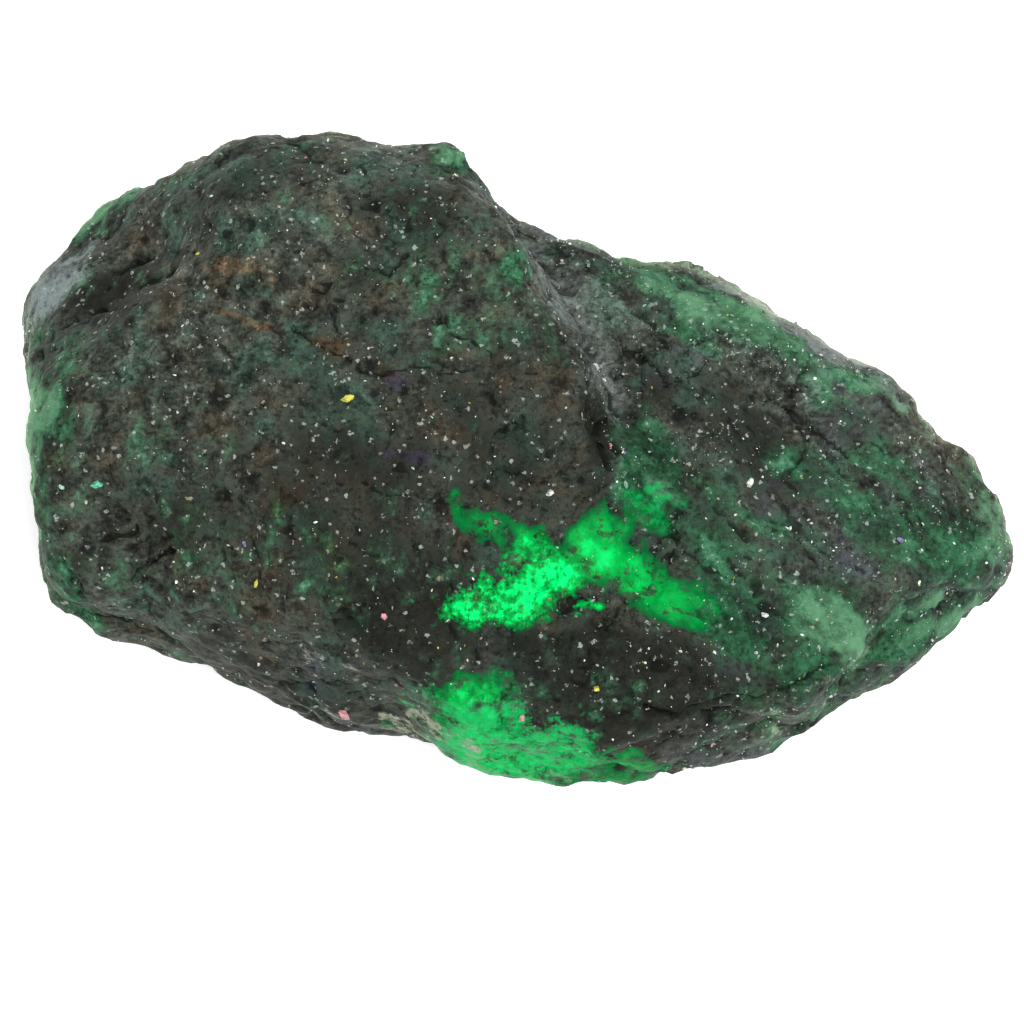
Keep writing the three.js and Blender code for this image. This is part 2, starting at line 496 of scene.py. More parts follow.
ZONE_PATCHES: dict[Zone, tuple[Patch, ...]] = {
    Zone.EMERALD: (
        Patch(-0.94, -0.02, 3.0, 9, 0, 0.75),
        Patch(-0.82, 0.82, 4.5, 2.0, 30, 0.9),
        Patch(-0.64, 0.8, 2.6, 1.6, 25, 0.6),
        Patch(-0.45, 0.84, 1.6, 1.2, 0, 0.6),
        Patch(-0.12, 0.31, 4.5, 3.5, -20, 0.4),
        Patch(-0.42, -0.47, 5.0, 3, 0, 0.2),
        Patch(-0.66, -0.5, 5, 2.4, 10, 0.35),
        Patch(-0.62, -0.1, 5, 4, 0, 0.25),
        Patch(-0.13, 0.84, 2.0, 1.7, 0, 1.0),
        Patch(0.36, 0.43, 8.5, 3.0, -22, 0.75),
        Patch(0.46, 0.32, 5.5, 2.4, -35, 0.95),
        Patch(0.18, 0.36, 3.0, 2.5, -30, 0.6),
        Patch(0.35, 0.29, 4.0, 1.5, -30, 0.6),
        Patch(0.55, 0.15, 6.0, 1.5, -38, 0.55),
        Patch(0.68, -0.28, 7.5, 2.0, -40, 0.7),
        Patch(0.73, -0.16, 4.0, 2.0, -38, 0.6),
        Patch(0.86, -0.36, 4.5, 3.4, -20, 0.8),
        Patch(0.68, 0.16, 2.2, 0.8, -35, 0.8),
        Patch(0.91, -0.14, 1.6, 1.6, 0, 0.5),
        Patch(0.28, -0.2, 2.4, 4.2, 10, 1.3),
        Patch(0.42, -0.64, 3.2, 1.8, -30, 1.2),
        Patch(0.36, -0.27, 4.0, 4.0, -30, 0.65),
        Patch(0.56, -0.42, 5, 2.6, -34, 0.4),
        Patch(0.44, -0.6, 4.5, 3.2, -25, 0.85),
        Patch(0.38, -0.42, 3, 3, 0, 0.6),
        Patch(0.6, -0.6, 4, 3.5, 0, 0.8),
        Patch(0.55, -0.78, 4.5, 1.8, 20, 0.9),
        Patch(0.78, -0.6, 5.5, 2.0, 26, 0.85),
        Patch(0.0, -0.94, 6.5, 2.5, -10, 0.7),
        Patch(-0.72, -0.72, 4.5, 1.2, -25, 0.8),
        Patch(-0.55, -0.8, 6.0, 1.4, -20, 0.5),
        Patch(-0.88, -0.52, 3.5, 1.2, -50, 0.85),
        Patch(-0.94, -0.4, 2.5, 1.0, -70, 0.7),
        Patch(0.07, 0.13, 1.2, 2.8, 12, 0.75),
        Patch(0.0, 0.38, 1.2, 2.2, 10, 0.7),
    ),
    Zone.CLEAR: (
        Patch(0.0, -0.555, 3.9, 2.1, 26, 0.95),
        Patch(-0.085, -0.63, 2.2, 1.45, 14, 0.9),
        Patch(0.08, -0.48, 1.8, 1.5, 40, 0.95),
        Patch(0.03, -0.44, 2.0, 1.2, 60, 0.72),
        Patch(-0.08, -0.34, 3.4, 1.0, -10, 0.47),
        Patch(-0.01, -0.385, 2.4, 1.1, -30, 0.54),
        Patch(0.17, -0.4, 2.8, 2.3, 60, 0.76),
        Patch(0.2, -0.47, 2.4, 2.2, -30, 0.62),
        Patch(0.14, -0.59, 0.7, 0.6, 0, 0.85),
        Patch(0.27, -0.53, 4.8, 2.4, -30, 0.66),
        Patch(0.33, -0.6, 2.6, 1.8, -30, 0.58),
        Patch(0.27, -0.3, 1.9, 2.2, 10, 0.42),
        Patch(0.28, -0.3, 2.6, 2.6, -30, 0.4),
        Patch(-0.08, -0.87, 3.2, 1.9, -10, 0.68),
        Patch(-0.03, -0.84, 1.5, 1.3, 0, 0.55),
        Patch(-0.04, -0.94, 4.0, 1.8, -18, 0.58),
        Patch(0.06, -0.97, 4.4, 1.6, -4, 0.62),
        Patch(0.22, -1.02, 5.0, 1.0, 0, 0.56),
        Patch(-0.02, -0.98, 5.0, 1.4, -12, 0.6),
        Patch(-0.25, -0.87, 1.2, 0.8, 0, 0.75),
        Patch(-0.71, -0.64, 1.8, 0.5, -30, 0.45),
    ),
    Zone.CRUST: (
        Patch(-0.01, -0.56, 5.2, 2.6, 26, 1.0),
        Patch(-0.12, -0.61, 3.4, 2.0, 12, 1.0),
        Patch(0.14, -0.59, 1.4, 1.0, 0, 0.8),
        Patch(-0.25, -0.87, 2.0, 1.2, 0, 0.6),
        Patch(0.0, -0.92, 7.0, 3.0, -10, 0.6),
    ),
    Zone.PALE: (
        Patch(0.28, -0.2, 1.9, 3.6, 10, 0.55),
        Patch(0.6, -0.6, 2.2, 3.0, 30, 0.75),
        Patch(0.66, -0.66, 0.9, 2.6, -10, 0.8),
        Patch(0.42, 0.35, 7.5, 2.6, -30, 0.72),
        Patch(0.03, -0.95, 5.0, 2.0, -8, 0.6),
        Patch(-0.13, 0.86, 1.8, 1.3, 0, 0.8),
        Patch(-0.08, -0.95, 5.0, 1.0, -20, 0.8),
        Patch(0.72, -0.3, 5, 2.5, -35, 0.3),
        Patch(0.5, -0.9, 5, 1.2, 15, 0.35),
        Patch(-0.9, 0.5, 1.8, 2.6, -30, 0.5),
        Patch(-0.95, -0.05, 1.8, 9.0, 0, 0.85),
        Patch(-0.84, 0.82, 4.4, 1.6, 32, 0.85),
        # Painted light: a paler band where the upper right rim is lit from behind.
        Patch(0.74, 0.12, 7.5, 1.4, -40, 0.5),
        Patch(0.96, -0.28, 1.6, 4.5, 0, 0.55),
        Patch(0.85, -0.52, 5.0, 1.6, 25, 0.6),
    ),
    Zone.RUST: (
        Patch(-0.52, 0.39, 3.4, 0.8, -10, 0.9),
        Patch(-0.51, 0.23, 4.2, 0.5, -16, 0.95),
        Patch(-0.37, 0.14, 2.6, 0.5, -38, 0.95),
        Patch(-0.25, 0.06, 1.6, 0.7, -20, 0.95),
        Patch(-0.5, 0.12, 3.0, 1.2, -30, 0.5),
        Patch(-0.26, -0.08, 5.0, 1.4, 10, 0.55),
        Patch(-0.41, -0.3, 4.2, 1.5, 0, 0.62),
        Patch(-0.33, -0.5, 1.6, 2.8, 15, 0.55),
        Patch(-0.03, 0.03, 4.0, 1.0, 0, 0.5),
        Patch(-0.56, 0.02, 2.0, 2.8, 0, 0.4),
        Patch(-0.62, 0.5, 5, 3, 0, 0.3),
        Patch(-0.08, -0.64, 4.5, 1.0, 15, 0.3),
        Patch(0.3, -0.8, 4.0, 1.6, 0, 0.25),
        # Painted light: a warm orange band along the lower front left wall, where light leaks up
        # from below.
        Patch(-0.4, -0.88, 4.5, 1.2, -25, 0.45),
    ),
    Zone.MICA_AND_SHADE: (
        # The first, broad patch darkens the whole middle of the top.
        Patch(-0.05, -0.3, 25, 13, -8, 0.6),
        Patch(-0.8, 0.4, 3.6, 3.0, 10, 1.2),
        Patch(-0.3, -0.22, 7, 3.2, 0, 0.8),
        Patch(-0.62, -0.36, 7, 3.6, 0, 0.55),
        Patch(-0.33, -0.42, 5.0, 4.0, 0, 0.7),
        Patch(-0.12, -0.05, 5, 2.4, 0, 0.6),
        Patch(0.0, -0.2, 4, 2.4, 0, 0.6),
        Patch(-0.52, 0.72, 6, 2.6, 10, 0.6),
        Patch(-0.2, 0.6, 4.5, 4, 0, 0.6),
        Patch(-0.28, 0.4, 2.4, 3, 0, 0.6),
        Patch(0.15, 0.52, 3, 2, -40, 0.5),
        Patch(0.26, 0.14, 3.0, 3.5, -8, 0.6),
        # Painted shade in the deep pit and crack at (0.17, -0.1).
        Patch(0.17, -0.11, 1.4, 2.6, 8, 1.3),
        Patch(0.36, 0.08, 5, 2.0, -35, 0.6),
        Patch(0.47, -0.08, 6, 2.6, -35, 0.85),
        Patch(0.66, 0.02, 5.0, 1.4, -35, 0.5),
        Patch(0.22, -0.8, 9, 3.4, -5, 1.3),
        Patch(0.2, -0.93, 4.5, 1.6, 0, 1.1),
        Patch(0.06, -0.7, 4.5, 1.1, 10, 1.0),
        Patch(0.5, -0.74, 3.5, 1.2, 0, 0.4),
        Patch(-0.2, -0.64, 6, 4, 0, 1.1),
        Patch(-0.5, -0.8, 12, 3.0, -18, 0.9),
        Patch(-0.84, -0.46, 1.6, 1.2, 20, 0.6),
        Patch(0.0, 0.1, 2.5, 3, 0, 0.5),
        Patch(-0.3, 0.2, 6, 2.4, -25, 0.4),
        Patch(0.4, -0.45, 1.0, 2.0, -15, 0.5),
    ),
    Zone.GREY: (
        Patch(-0.94, 0.5, 1.7, 3.2, -28, 1.3),
        Patch(-0.88, 0.63, 1.0, 2.0, -40, 1.0),
        Patch(0.11, 0.4, 2.4, 6.0, 16, 0.95),
        Patch(0.18, 0.14, 2.2, 4.0, 10, 0.8),
        Patch(0.19, -0.2, 1.2, 1.4, 0, 0.4),
        Patch(0.1, 0.62, 3.0, 1.6, -30, 0.6),
        # This patch and the one at (0.76, 0.12) paint a paler band where the upper right rim is
        # lit from behind.
        Patch(0.57, 0.35, 8.0, 1.3, -36, 1.0),
        Patch(0.2, 0.34, 4.0, 3.5, -30, 0.6),
        Patch(0.76, 0.12, 6.0, 1.2, -40, 0.5),
        Patch(0.5, 0.17, 7.0, 1.6, -36, 0.6),
        Patch(0.36, 0.54, 6.0, 0.9, -20, 0.6),
        Patch(-0.3, 0.9, 9.0, 1.2, 0, 0.4),
        Patch(-0.6, 0.1, 5, 5, 0, 0.35),
    ),
    Zone.VIOLET: (
        Patch(-0.21, -0.2, 3.0, 0.8, -5, 0.8),
        Patch(-0.36, -0.74, 3.4, 0.6, -22, 0.7),
        Patch(-0.22, 0.03, 1.4, 0.7, -10, 0.9),
        Patch(0.66, -0.42, 2.5, 1.2, -30, 0.5),
    ),
    Zone.FROST: (
        # These also paint light that leaks up from below along the lower front rim.
        Patch(-0.26, -0.86, 1.0, 0.6, 0, 0.7),
        Patch(-0.36, -0.84, 5.0, 0.9, -16, 0.45),
    ),
}


# How strongly each kind of mottling frays a zone's edges.
ZONE_BREAKS: dict[Zone, dict[str, float]] = {
    Zone.EMERALD: {"swell": 0.35, "mottle": 0.2, "streak": 0.35},
    Zone.CLEAR: {"swell": 0.12, "mottle": 0.16, "streak": 0.08},
    Zone.CRUST: {},
    Zone.PALE: {"swell": 0.2, "mottle": 0.2, "streak": 0.3},
    Zone.RUST: {"swell": 0.35, "mottle": 0.3},
    Zone.MICA_AND_SHADE: {"swell": 0.4, "mottle": 0.3, "streak": 0.2},
    Zone.GREY: {"swell": 0.2, "streak": 0.3},
    Zone.VIOLET: {"swell": 0.25, "mottle": 0.4},
    Zone.FROST: {"swell": 0.25, "mottle": 0.3},
}


# ---------------------------------------------------------------------------------------------
# The stone
# ---------------------------------------------------------------------------------------------


@dataclass
class RoughStone:
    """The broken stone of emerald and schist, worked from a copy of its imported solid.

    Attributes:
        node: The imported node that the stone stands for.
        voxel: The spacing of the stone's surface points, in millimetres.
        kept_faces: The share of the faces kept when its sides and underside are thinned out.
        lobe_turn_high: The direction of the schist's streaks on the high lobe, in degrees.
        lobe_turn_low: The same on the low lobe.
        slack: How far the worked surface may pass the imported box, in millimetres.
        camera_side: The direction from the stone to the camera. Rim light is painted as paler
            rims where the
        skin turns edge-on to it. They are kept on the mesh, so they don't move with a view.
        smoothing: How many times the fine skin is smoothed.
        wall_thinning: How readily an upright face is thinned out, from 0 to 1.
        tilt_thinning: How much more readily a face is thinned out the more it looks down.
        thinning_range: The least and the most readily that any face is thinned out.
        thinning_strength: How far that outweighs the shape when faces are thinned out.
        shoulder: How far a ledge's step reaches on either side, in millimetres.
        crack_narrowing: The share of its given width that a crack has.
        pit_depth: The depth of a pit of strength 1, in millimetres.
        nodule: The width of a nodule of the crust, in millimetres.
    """

    node: str = "emerald_rough"
    voxel: float = 0.21
    kept_faces: float = 0.485
    lobe_turn_high: float = 82.0
    lobe_turn_low: float = -38.0
    slack: float = 0.4
    camera_side: tuple[float, float, float] = (0.0, -0.34, 0.94)
    smoothing: int = 16
    wall_thinning: float = 0.6
    tilt_thinning: float = 1.2
    thinning_range: tuple[float, float] = (0.02, 0.8)
    thinning_strength: float = 40.0
    shoulder: float = 2.6
    crack_narrowing: float = 0.75
    pit_depth: float = 1.1
    nodule: float = 0.85
    box: StoneBox = field(init=False)
    piece: bpy.types.Object = field(init=False)

    def build(self) -> bpy.types.Object:
        """Makes the stone's surface and its zones.

        Returns:
            The finished stone.
        """
        self.box = StoneBox.of_node(self.node)
        self.piece = self._copy_of_solid()
        self._refine()
        self._mark_lit_rims()
        self._break_up()
        self._crack()
        self._roughen()
        self._mark_zones()
        make_active(self.piece)
        bpy.ops.object.shade_smooth()
        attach(self.piece, "root")
        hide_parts(self.node)
        return self.piece

    def _copy_of_solid(self) -> bpy.types.Object:
        """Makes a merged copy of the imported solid.

        Returns:
            The copy, with no material.
        """
        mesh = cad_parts[self.node].data.copy()
        piece = bpy.data.objects.new("emerald_in_schist", mesh)
        bpy.context.scene.collection.objects.link(piece)
        mesh.materials.clear()
        make_active(piece)
        bpy.ops.object.mode_set(mode="EDIT")
        bpy.ops.mesh.select_all(action="SELECT")
        bpy.ops.mesh.remove_doubles(threshold=1e-6)
        bpy.ops.mesh.customdata_custom_splitnormals_clear()
        bpy.ops.object.mode_set(mode="OBJECT")
        return piece

    def _refine(self) -> None:
        """Replaces the solid's facets by an even, smooth skin of small faces."""
        apply_modifier(self.piece, "REMESH", mode="VOXEL", voxel_size=self.voxel * MM)
        apply_modifier(self.piece, "SMOOTH", factor=0.5, iterations=self.smoothing)
        group = self.piece.vertex_groups.new(name="seldom_seen")
        for index, up in enumerate(vertex_normals(self.piece)[:, 2]):
            readily = np.clip(self.wall_thinning - self.tilt_thinning * up, *self.thinning_range)
            group.add([index], float(readily), "REPLACE")
        apply_modifier(self.piece, "DECIMATE", ratio=self.kept_faces,
                       vertex_group=group.name, vertex_group_factor=self.thinning_strength)
        self.piece.vertex_groups.clear()

    def _mark_lit_rims(self) -> None:
        """Keeps where painted rim light goes: near the thin upper rims, away from the crest."""
        normals = vertex_normals(self.piece)
        facing = normals @ self.camera_side
        band = smooth_step(facing, -0.35, -0.05) * (1.0 - smooth_step(facing, 0.0, 0.5))
        from_crest, _ = CREST.distance(vertex_places(self.piece), self.box)
        upper = smooth_step(normals[:, 2], -0.1, 0.25)
        store(self.piece, "rim", band * upper * smooth_step(from_crest, 2.0, 5.0))

    def low_lobe(self, places: Array) -> Array:
        """1 on the low lobe to the right of the crest, 0 on the high one."""
        _, signed = CREST.distance(places, self.box)
        return smooth_step(-signed, -1.0, 1.5)

    def _push(self, height: Array) -> None:
        """Moves the surface out along its normals, and keeps it on its resting plane and in
        its box.

        Args:
            height: How far each vertex moves, in millimetres.
        """
        places = vertex_places(self.piece) + vertex_normals(self.piece) * height[:, None]
        low = np.array(self.box.low) - (self.slack, self.slack, 0)
        high = np.array(self.box.high) + self.slack
        move_vertices(self.piece, np.clip(places, low, high))

    def _break_up(self) -> None:
        """Chips, layered walls, terraces on the cleavage faces, and the crisp ledges."""
        places = vertex_places(self.piece)
        up = np.clip(vertex_normals(self.piece)[:, 2], -1, 1)
        wall = 1.0 - smooth_step(np.abs(up), 0.45, 0.8)
        low_lobe = self.low_lobe(places)
        warped = places + 0.7 * meander(places, 5.0, 2, 3.0)
        height = chips(warped, 7.5, 0.5) * (0.2 + 0.15 * wall + 0.1 * low_lobe)
        height += chips(warped, 2.8, 0.5, 5.0) * (0.16 + 0.42 * wall + 0.16 * low_lobe)
        layers = np.column_stack((warped[:, 0] / 9.0, warped[:, 1] / 9.0, warped[:, 2] / 1.5))
        height += 0.04 * wall * ridges(layers, 1.0, 2)
        height += 0.12 * wall * chips(layers * 2.2, 1.0, 0.5, 9.0)
        height += 0.35 * wall * chips(warped, 1.7, 0.5, 19.0)
        treads_high = terraces(0.7 * clouds(warped, 9.0, 3, 31.0), 0.2, 0.35)
        along = stretched(warped, self.lobe_turn_low, 2.6)
        treads_low = terraces(0.6 * clouds(along, 4.6, 3, 41.0), 0.24, 0.4)
        height += (1.0 - wall) * (treads_high * (1 - low_lobe) + treads_low * low_lobe)
        for bulge in BULGES:
            height += bulge.over(places, self.box)
        for ledge in LEDGES:
            gap, signed = ledge.distance(warped, self.box)
            shoulder = np.exp(-((gap / self.shoulder) ** 2))
            height += 0.5 * ledge.depth * np.tanh(signed / ledge.width) * shoulder
        self._push(height)

    def _crack(self) -> None:
        """Cuts the cracks and pits, and raises the granular crust of clear emerald."""
        places = vertex_places(self.piece)
        top = smooth_step(vertex_normals(self.piece)[:, 2], -0.1, 0.3)
        warped = places + 0.45 * meander(places, 2.4, 3, 53.0)
        height = np.zeros(len(places))
        for crack in CRACKS:
            gap, _ = crack.distance(warped, self.box)
            width = self.crack_narrowing * crack.width
            height -= crack.depth * np.exp(-((gap / width) ** 2))
        for pit in PITS:
            height -= self.pit_depth * pit.over(warped, self.box)
        clear = painted(ZONE_PATCHES[Zone.CLEAR], warped, self.box)
        crust = smooth_step(clear, 0.55, 0.8)
        nodules = sample(warped / self.nodule, lambda p: 1.0 - noise.voronoi(p)[0][0])
        height += crust * (0.28 * nodules - 0.1)
        self._push(height * top)

    def _roughen(self) -> None:
        """Gives the whole surface the grain of broken schist."""
        places = vertex_places(self.piece)
        low_lobe = self.low_lobe(places)
        high_grain = clouds(stretched(places, self.lobe_turn_high, 1.5), 1.3, 3, 83.0)
        low_grain = chips(stretched(places, self.lobe_turn_low, 2.2), 1.5, 0.55, 93.0)
        height = 0.1 * high_grain * (1 - low_lobe) + 0.32 * low_grain * low_lobe
        height += 0.35 * chips(places, 1.0, 0.5, 17.0) + 0.05 * clouds(places, 0.6, 2, 103.0)
        height -= 0.06 * smooth_step(ridges(places, 2.4, 2, 113.0), 0.7, 1.0)
        self._push(height)

    def _hollowness(self) -> Array:
        """Measures how deep each vertex lies under its surroundings.

        Returns:
            One number for each vertex, about -1 on edges to 1 in pits.
        """
        mesh = self.piece.data
        ends = np.empty(len(mesh.edges) * 2, np.int32)
        mesh.edges.foreach_get("vertices", ends)
        one, other = ends.reshape(-1, 2).T
        places = vertex_places(self.piece)
        normals = vertex_normals(self.piece)
        valence = np.bincount(ends, minlength=len(places))[:, None]
        blurred = places.copy()
        total = np.zeros(len(places))
        for turn in range(1, 25):
            around = np.zeros_like(blurred)
            for axis in range(3):
                around[:, axis] = np.bincount(one, blurred[other, axis], len(places))
                around[:, axis] += np.bincount(other, blurred[one, axis], len(places))
            blurred = 0.5 * blurred + 0.5 * around / valence
            if turn in (4, 24):
                total += ((blurred - places) * normals).sum(axis=1) / (0.03 * math.sqrt(turn))
        return np.clip(total / 2, -1, 1)

    def _mark_zones(self) -> None:
        """Keeps the zones, the mottling and the hollows as attributes for the finish."""
        places = vertex_places(self.piece)
        top = smooth_step(vertex_normals(self.piece)[:, 2], -0.55, -0.15)
        low_lobe = self.low_lobe(places)
        warped = places.copy()
        for wavelength, reach in ((5.0, 1.0), (1.6, 0.5)):
            warped += reach * meander(places, wavelength, 2, 123.0)
        wild = {
            Zone.EMERALD: smooth_step(clouds(places, 11.0, 3, 153.0), 0.0, 0.7),
            Zone.MICA_AND_SHADE: smooth_step(clouds(places, 8.0, 3, 163.0), -0.1, 0.6),
            Zone.RUST: 0.5 * smooth_step(clouds(places, 7.0, 3, 173.0), 0.2, 0.8),
            Zone.PALE: 0.5 * smooth_step(clouds(places, 9.0, 3, 183.0), 0.35, 0.8),
        }
        mottle = {
            "swell": clouds(places, 3.4, 3, 193.0),
            "mottle": clouds(places, 1.1, 3, 203.0),
            "streak": clouds(stretched(warped, self.lobe_turn_high, 3.0), 0.9, 3, 213.0)
            * (1 - low_lobe)
            + clouds(stretched(warped, self.lobe_turn_low, 4.0), 1.4, 3, 223.0) * low_lobe,
        }
        for name, values in mottle.items():
            store(self.piece, name, values)
        warmth = 0.6 * clouds(places, 5.0, 3, 233.0) + 0.8 * clouds(places, 1.9, 3, 243.0)
        store(self.piece, "warmth", 0.42 + warmth - 0.25 * low_lobe)
        store(self.piece, "low_lobe", low_lobe)
        for zone in Zone:
            drawn = painted(ZONE_PATCHES[zone], warped, self.box)
            if zone is Zone.FROST:
                for rim in FROSTED_AND_LIT_RIMS:
                    gap, _ = rim.distance(places + 0.35 * (warped - places), self.box)
                    drawn = np.maximum(drawn, rim.depth * np.exp(-((gap / rim.width) ** 2)))
            unseen = wild.get(zone, np.zeros(len(places)))
            amount = drawn * top + unseen * (1 - top)
            for name, weight in ZONE_BREAKS[zone].items():
                amount = amount + weight * mottle[name]
            store(self.piece, zone.value, amount)
        store(self.piece, "hollow", self._hollowness())


# ---------------------------------------------------------------------------------------------
# Loose grains
# ---------------------------------------------------------------------------------------------


class Tint(Enum):
    """The colours of the loose grains, linear."""

    SILVER = (0.78, 0.82, 0.78)
    CREAM = (0.76, 0.72, 0.52)
    PALE_GREEN = (0.34, 0.62, 0.44)
    TEAL = (0.1, 0.5, 0.3)
    YELLOW = (0.62, 0.58, 0.08)
    PINK = (0.62, 0.28, 0.3)
    VIOLET = (0.3, 0.27, 0.5)


# How common each tint is among the scattered grains, in the order of Tint.
TINT_SHARES = (0.52, 0.2, 0.16, 0.04, 0.03, 0.03, 0.02)


@dataclass(frozen=True)
class NamedGrain:
    """A grain that is large or coloured enough to have a place of its own."""

    along: float
    across: float
    size: float
    tint: Tint


NAMED_GRAINS = (
    NamedGrain(-0.32, -0.03, 0.62, Tint.YELLOW),
    NamedGrain(-0.5, -0.55, 0.5, Tint.YELLOW),
    NamedGrain(0.16, -0.84, 0.55, Tint.YELLOW),
    NamedGrain(-0.33, -0.86, 0.8, Tint.PINK),
    NamedGrain(0.02, -0.9, 0.5, Tint.PINK),
    NamedGrain(-0.25, -0.66, 0.5, Tint.PINK),
    NamedGrain(0.19, -0.12, 0.45, Tint.PINK),
    NamedGrain(-0.81, -0.24, 0.7, Tint.TEAL),
    NamedGrain(0.16, 0.14, 0.75, Tint.SILVER),
    NamedGrain(0.47, -0.19, 0.65, Tint.SILVER),
    NamedGrain(0.07, -0.28, 0.6, Tint.SILVER),
    NamedGrain(0.49, -0.6, 0.55, Tint.SILVER),
    NamedGrain(0.22, -0.23, 0.6, Tint.PALE_GREEN),
    NamedGrain(-0.88, -0.24, 0.5, Tint.PALE_GREEN),
    NamedGrain(-0.52, -0.44, 0.45, Tint.VIOLET),
    NamedGrain(0.76, -0.36, 0.5, Tint.VIOLET),
)


@dataclass
class LooseGrains:
    """Flakes of mica and crumbs of quartz that lie on the stone, as one joined mesh.

    Attributes:
        count: How many grains are scattered.
        smallest: The smallest grain in millimetres.
        largest: The largest scattered grain in millimetres.
        sunk: The share of a grain's size that is under the surface.
        smallness: How much commoner the small grains are than the large ones.
        shade: The least and the most that a grain's tint is scaled by.
        seed: The seed of the scatter.
    """

    count: int = 2600
    smallest: float = 0.07
    largest: float = 0.28
    sunk: float = 0.12
    smallness: float = 3.5
    shade: tuple[float, float] = (0.3, 1.35)
    seed: int = 11
    shapes: list[tuple[Array, Array]] = field(default_factory=list)

    def build(self, stone: RoughStone) -> bpy.types.Object:
        """Scatters the grains over the stone.

        Args:
            stone: The finished stone.

        Returns:
            The joined grains.
        """
        self.shapes = [self._grain(*form) for form in (
            (5, 0.35, 0.0), (6, 0.25, 0.4), (4, 0.6, 0.2), (7, 0.3, 0.8),
        )]
        points, tints = [], []
        faces: list[list[int]] = []
        start = 0
        for place, normal, size, tint, random in self._scatter(stone):
            shape_points, shape_faces = self.shapes[int(random[0] * len(self.shapes))]
            uneven = np.array((1.15, 0.45 + 0.5 * random[3], 0.5 + 0.5 * random[2]))
            turned = self._turned(shape_points * size * uneven, normal, random)
            points.append(turned + place + normal * size * (0.25 - self.sunk))
            faces.extend([[start + corner for corner in face] for face in shape_faces])
            tints.append(np.tile(tint, (len(shape_points), 1)))
            start += len(shape_points)
        mesh = bpy.data.meshes.new("mica_and_quartz_grains")
        mesh.from_pydata((np.vstack(points) * MM).tolist(), [], faces)
        mesh.update()
        piece = bpy.data.objects.new("mica_and_quartz_grains", mesh)
        bpy.context.scene.collection.objects.link(piece)
        colours = mesh.attributes.new("tint", "FLOAT_COLOR", "POINT")
        rgba = np.column_stack((np.vstack(tints), np.ones(start)))
        colours.data.foreach_set("color", rgba.astype(np.float32).ravel())
        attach(piece, "root")
        return piece

    def _grain(self, sides: int, thickness: float, skew: float) -> tuple[Array, Array]:
        """Models one grain: a flat crystal plate with a bevelled, uneven rim.

        Args:
            sides: How many sides the plate has.
            thickness: Its thickness as a share of its width.
            skew: How far its upper face is shifted and shrunk.

        Returns:
            Its points about the origin at a width of 1, and its faces.
        """
        deselect_all()
        bpy.ops.mesh.primitive_cylinder_add(
            vertices=sides, radius=0.5, depth=thickness, location=(0, 0, 0)
        )
        plate = bpy.context.active_object
        bpy.ops.object.mode_set(mode="EDIT")
        bpy.ops.mesh.select_all(action="DESELECT")
        bpy.ops.object.mode_set(mode="OBJECT")
        for face in plate.data.polygons:
            face.select = face.normal.z > 0.9
        bpy.ops.object.mode_set(mode="EDIT")
        bpy.ops.mesh.select_mode(type="FACE")
        bpy.ops.transform.translate(value=(0.12 * skew, 0.08 * skew, 0.0))
        bpy.ops.mesh.inset(thickness=0.12, depth=0.08)
        bpy.ops.mesh.select_all(action="SELECT")
        bpy.ops.transform.vertex_random(offset=0.16, uniform=0.2, seed=sides)
        bpy.ops.object.mode_set(mode="OBJECT")
        points = vertex_places(plate) * MM
        points[:, 0] *= 1.0 + 0.35 * skew
        faces = [list(face.vertices) for face in plate.data.polygons]
        bpy.data.objects.remove(plate)
        return points, faces

    def _turned(self, points: Array, normal: Array, random: Array) -> Array:
        """Lays a grain on a surface with a random turn and tilt.

        Args:
            points: The grain's points about the origin.
            normal: The surface's normal there.
            random: The grain's four random numbers.

        Returns:
            The turned points.
        """
        lay = Vector(normal).to_track_quat("Z", "Y").to_matrix()
        lean = Euler(((random[1] - 0.5) * 1.6, (random[2] - 0.5) * 1.6, random[3] * 2 * math.pi))
        return points @ np.array(lay @ lean.to_matrix()).T

    def _scatter(self, stone: RoughStone) -> list[tuple]:
        """Chooses where the grains lie.

        Args:
            stone: The finished stone.

        Returns:
            Each grain's place, normal, size, tint and random numbers.
        """
        mesh = stone.piece.data
        rng = np.random.default_rng(self.seed)
        count = len(mesh.polygons)
        areas, centres = np.empty(count, np.float32), np.empty(count * 3, np.float32)
        normals = np.empty(count * 3, np.float32)
        mesh.polygons.foreach_get("area", areas)
        mesh.polygons.foreach_get("center", centres)
        mesh.polygons.foreach_get("normal", normals)
        centres = centres.reshape(-1, 3).astype(float) / MM
        normals = normals.reshape(-1, 3).astype(float)
        sheltered = smooth_step(clouds(centres, 3.0, 3, 203.0), -0.1, 0.8)
        clear = painted(ZONE_PATCHES[Zone.CLEAR], centres, stone.box)
        weight = areas * (0.12 + sheltered) * (1 - 0.6 * clear) * (centres[:, 2] > 0.5)
        weight *= 0.45 + 0.55 * smooth_step(normals[:, 2], -0.2, 0.4)
        weight *= 0.5 + 1.1 * stone.low_lobe(centres)
        chosen = rng.choice(count, self.count, replace=False, p=weight / weight.sum())
        tints = list(Tint)
        grains = []
        for index in chosen:
            span = (self.largest / self.smallest) ** (rng.random() ** self.smallness)
            tint = tints[int(rng.choice(len(tints), p=TINT_SHARES))]
            grains.append((centres[index], normals[index], self.smallest * span,
                           np.array(tint.value) * rng.uniform(*self.shade), rng.random(4)))
        upward = normals[:, 2] > 0.2
        for named in NAMED_GRAINS:
            x, y = stone.box.plan(named.along, named.across)
            gap = np.hypot(centres[:, 0] - x, centres[:, 1] - y) + 99 * ~upward
            index = int(gap.argmin())
            grains.append((centres[index], normals[index], named.size,
                           np.array(named.tint.value), rng.random(4)))
        return grains


# ---------------------------------------------------------------------------------------------
# Finishes
# ---------------------------------------------------------------------------------------------


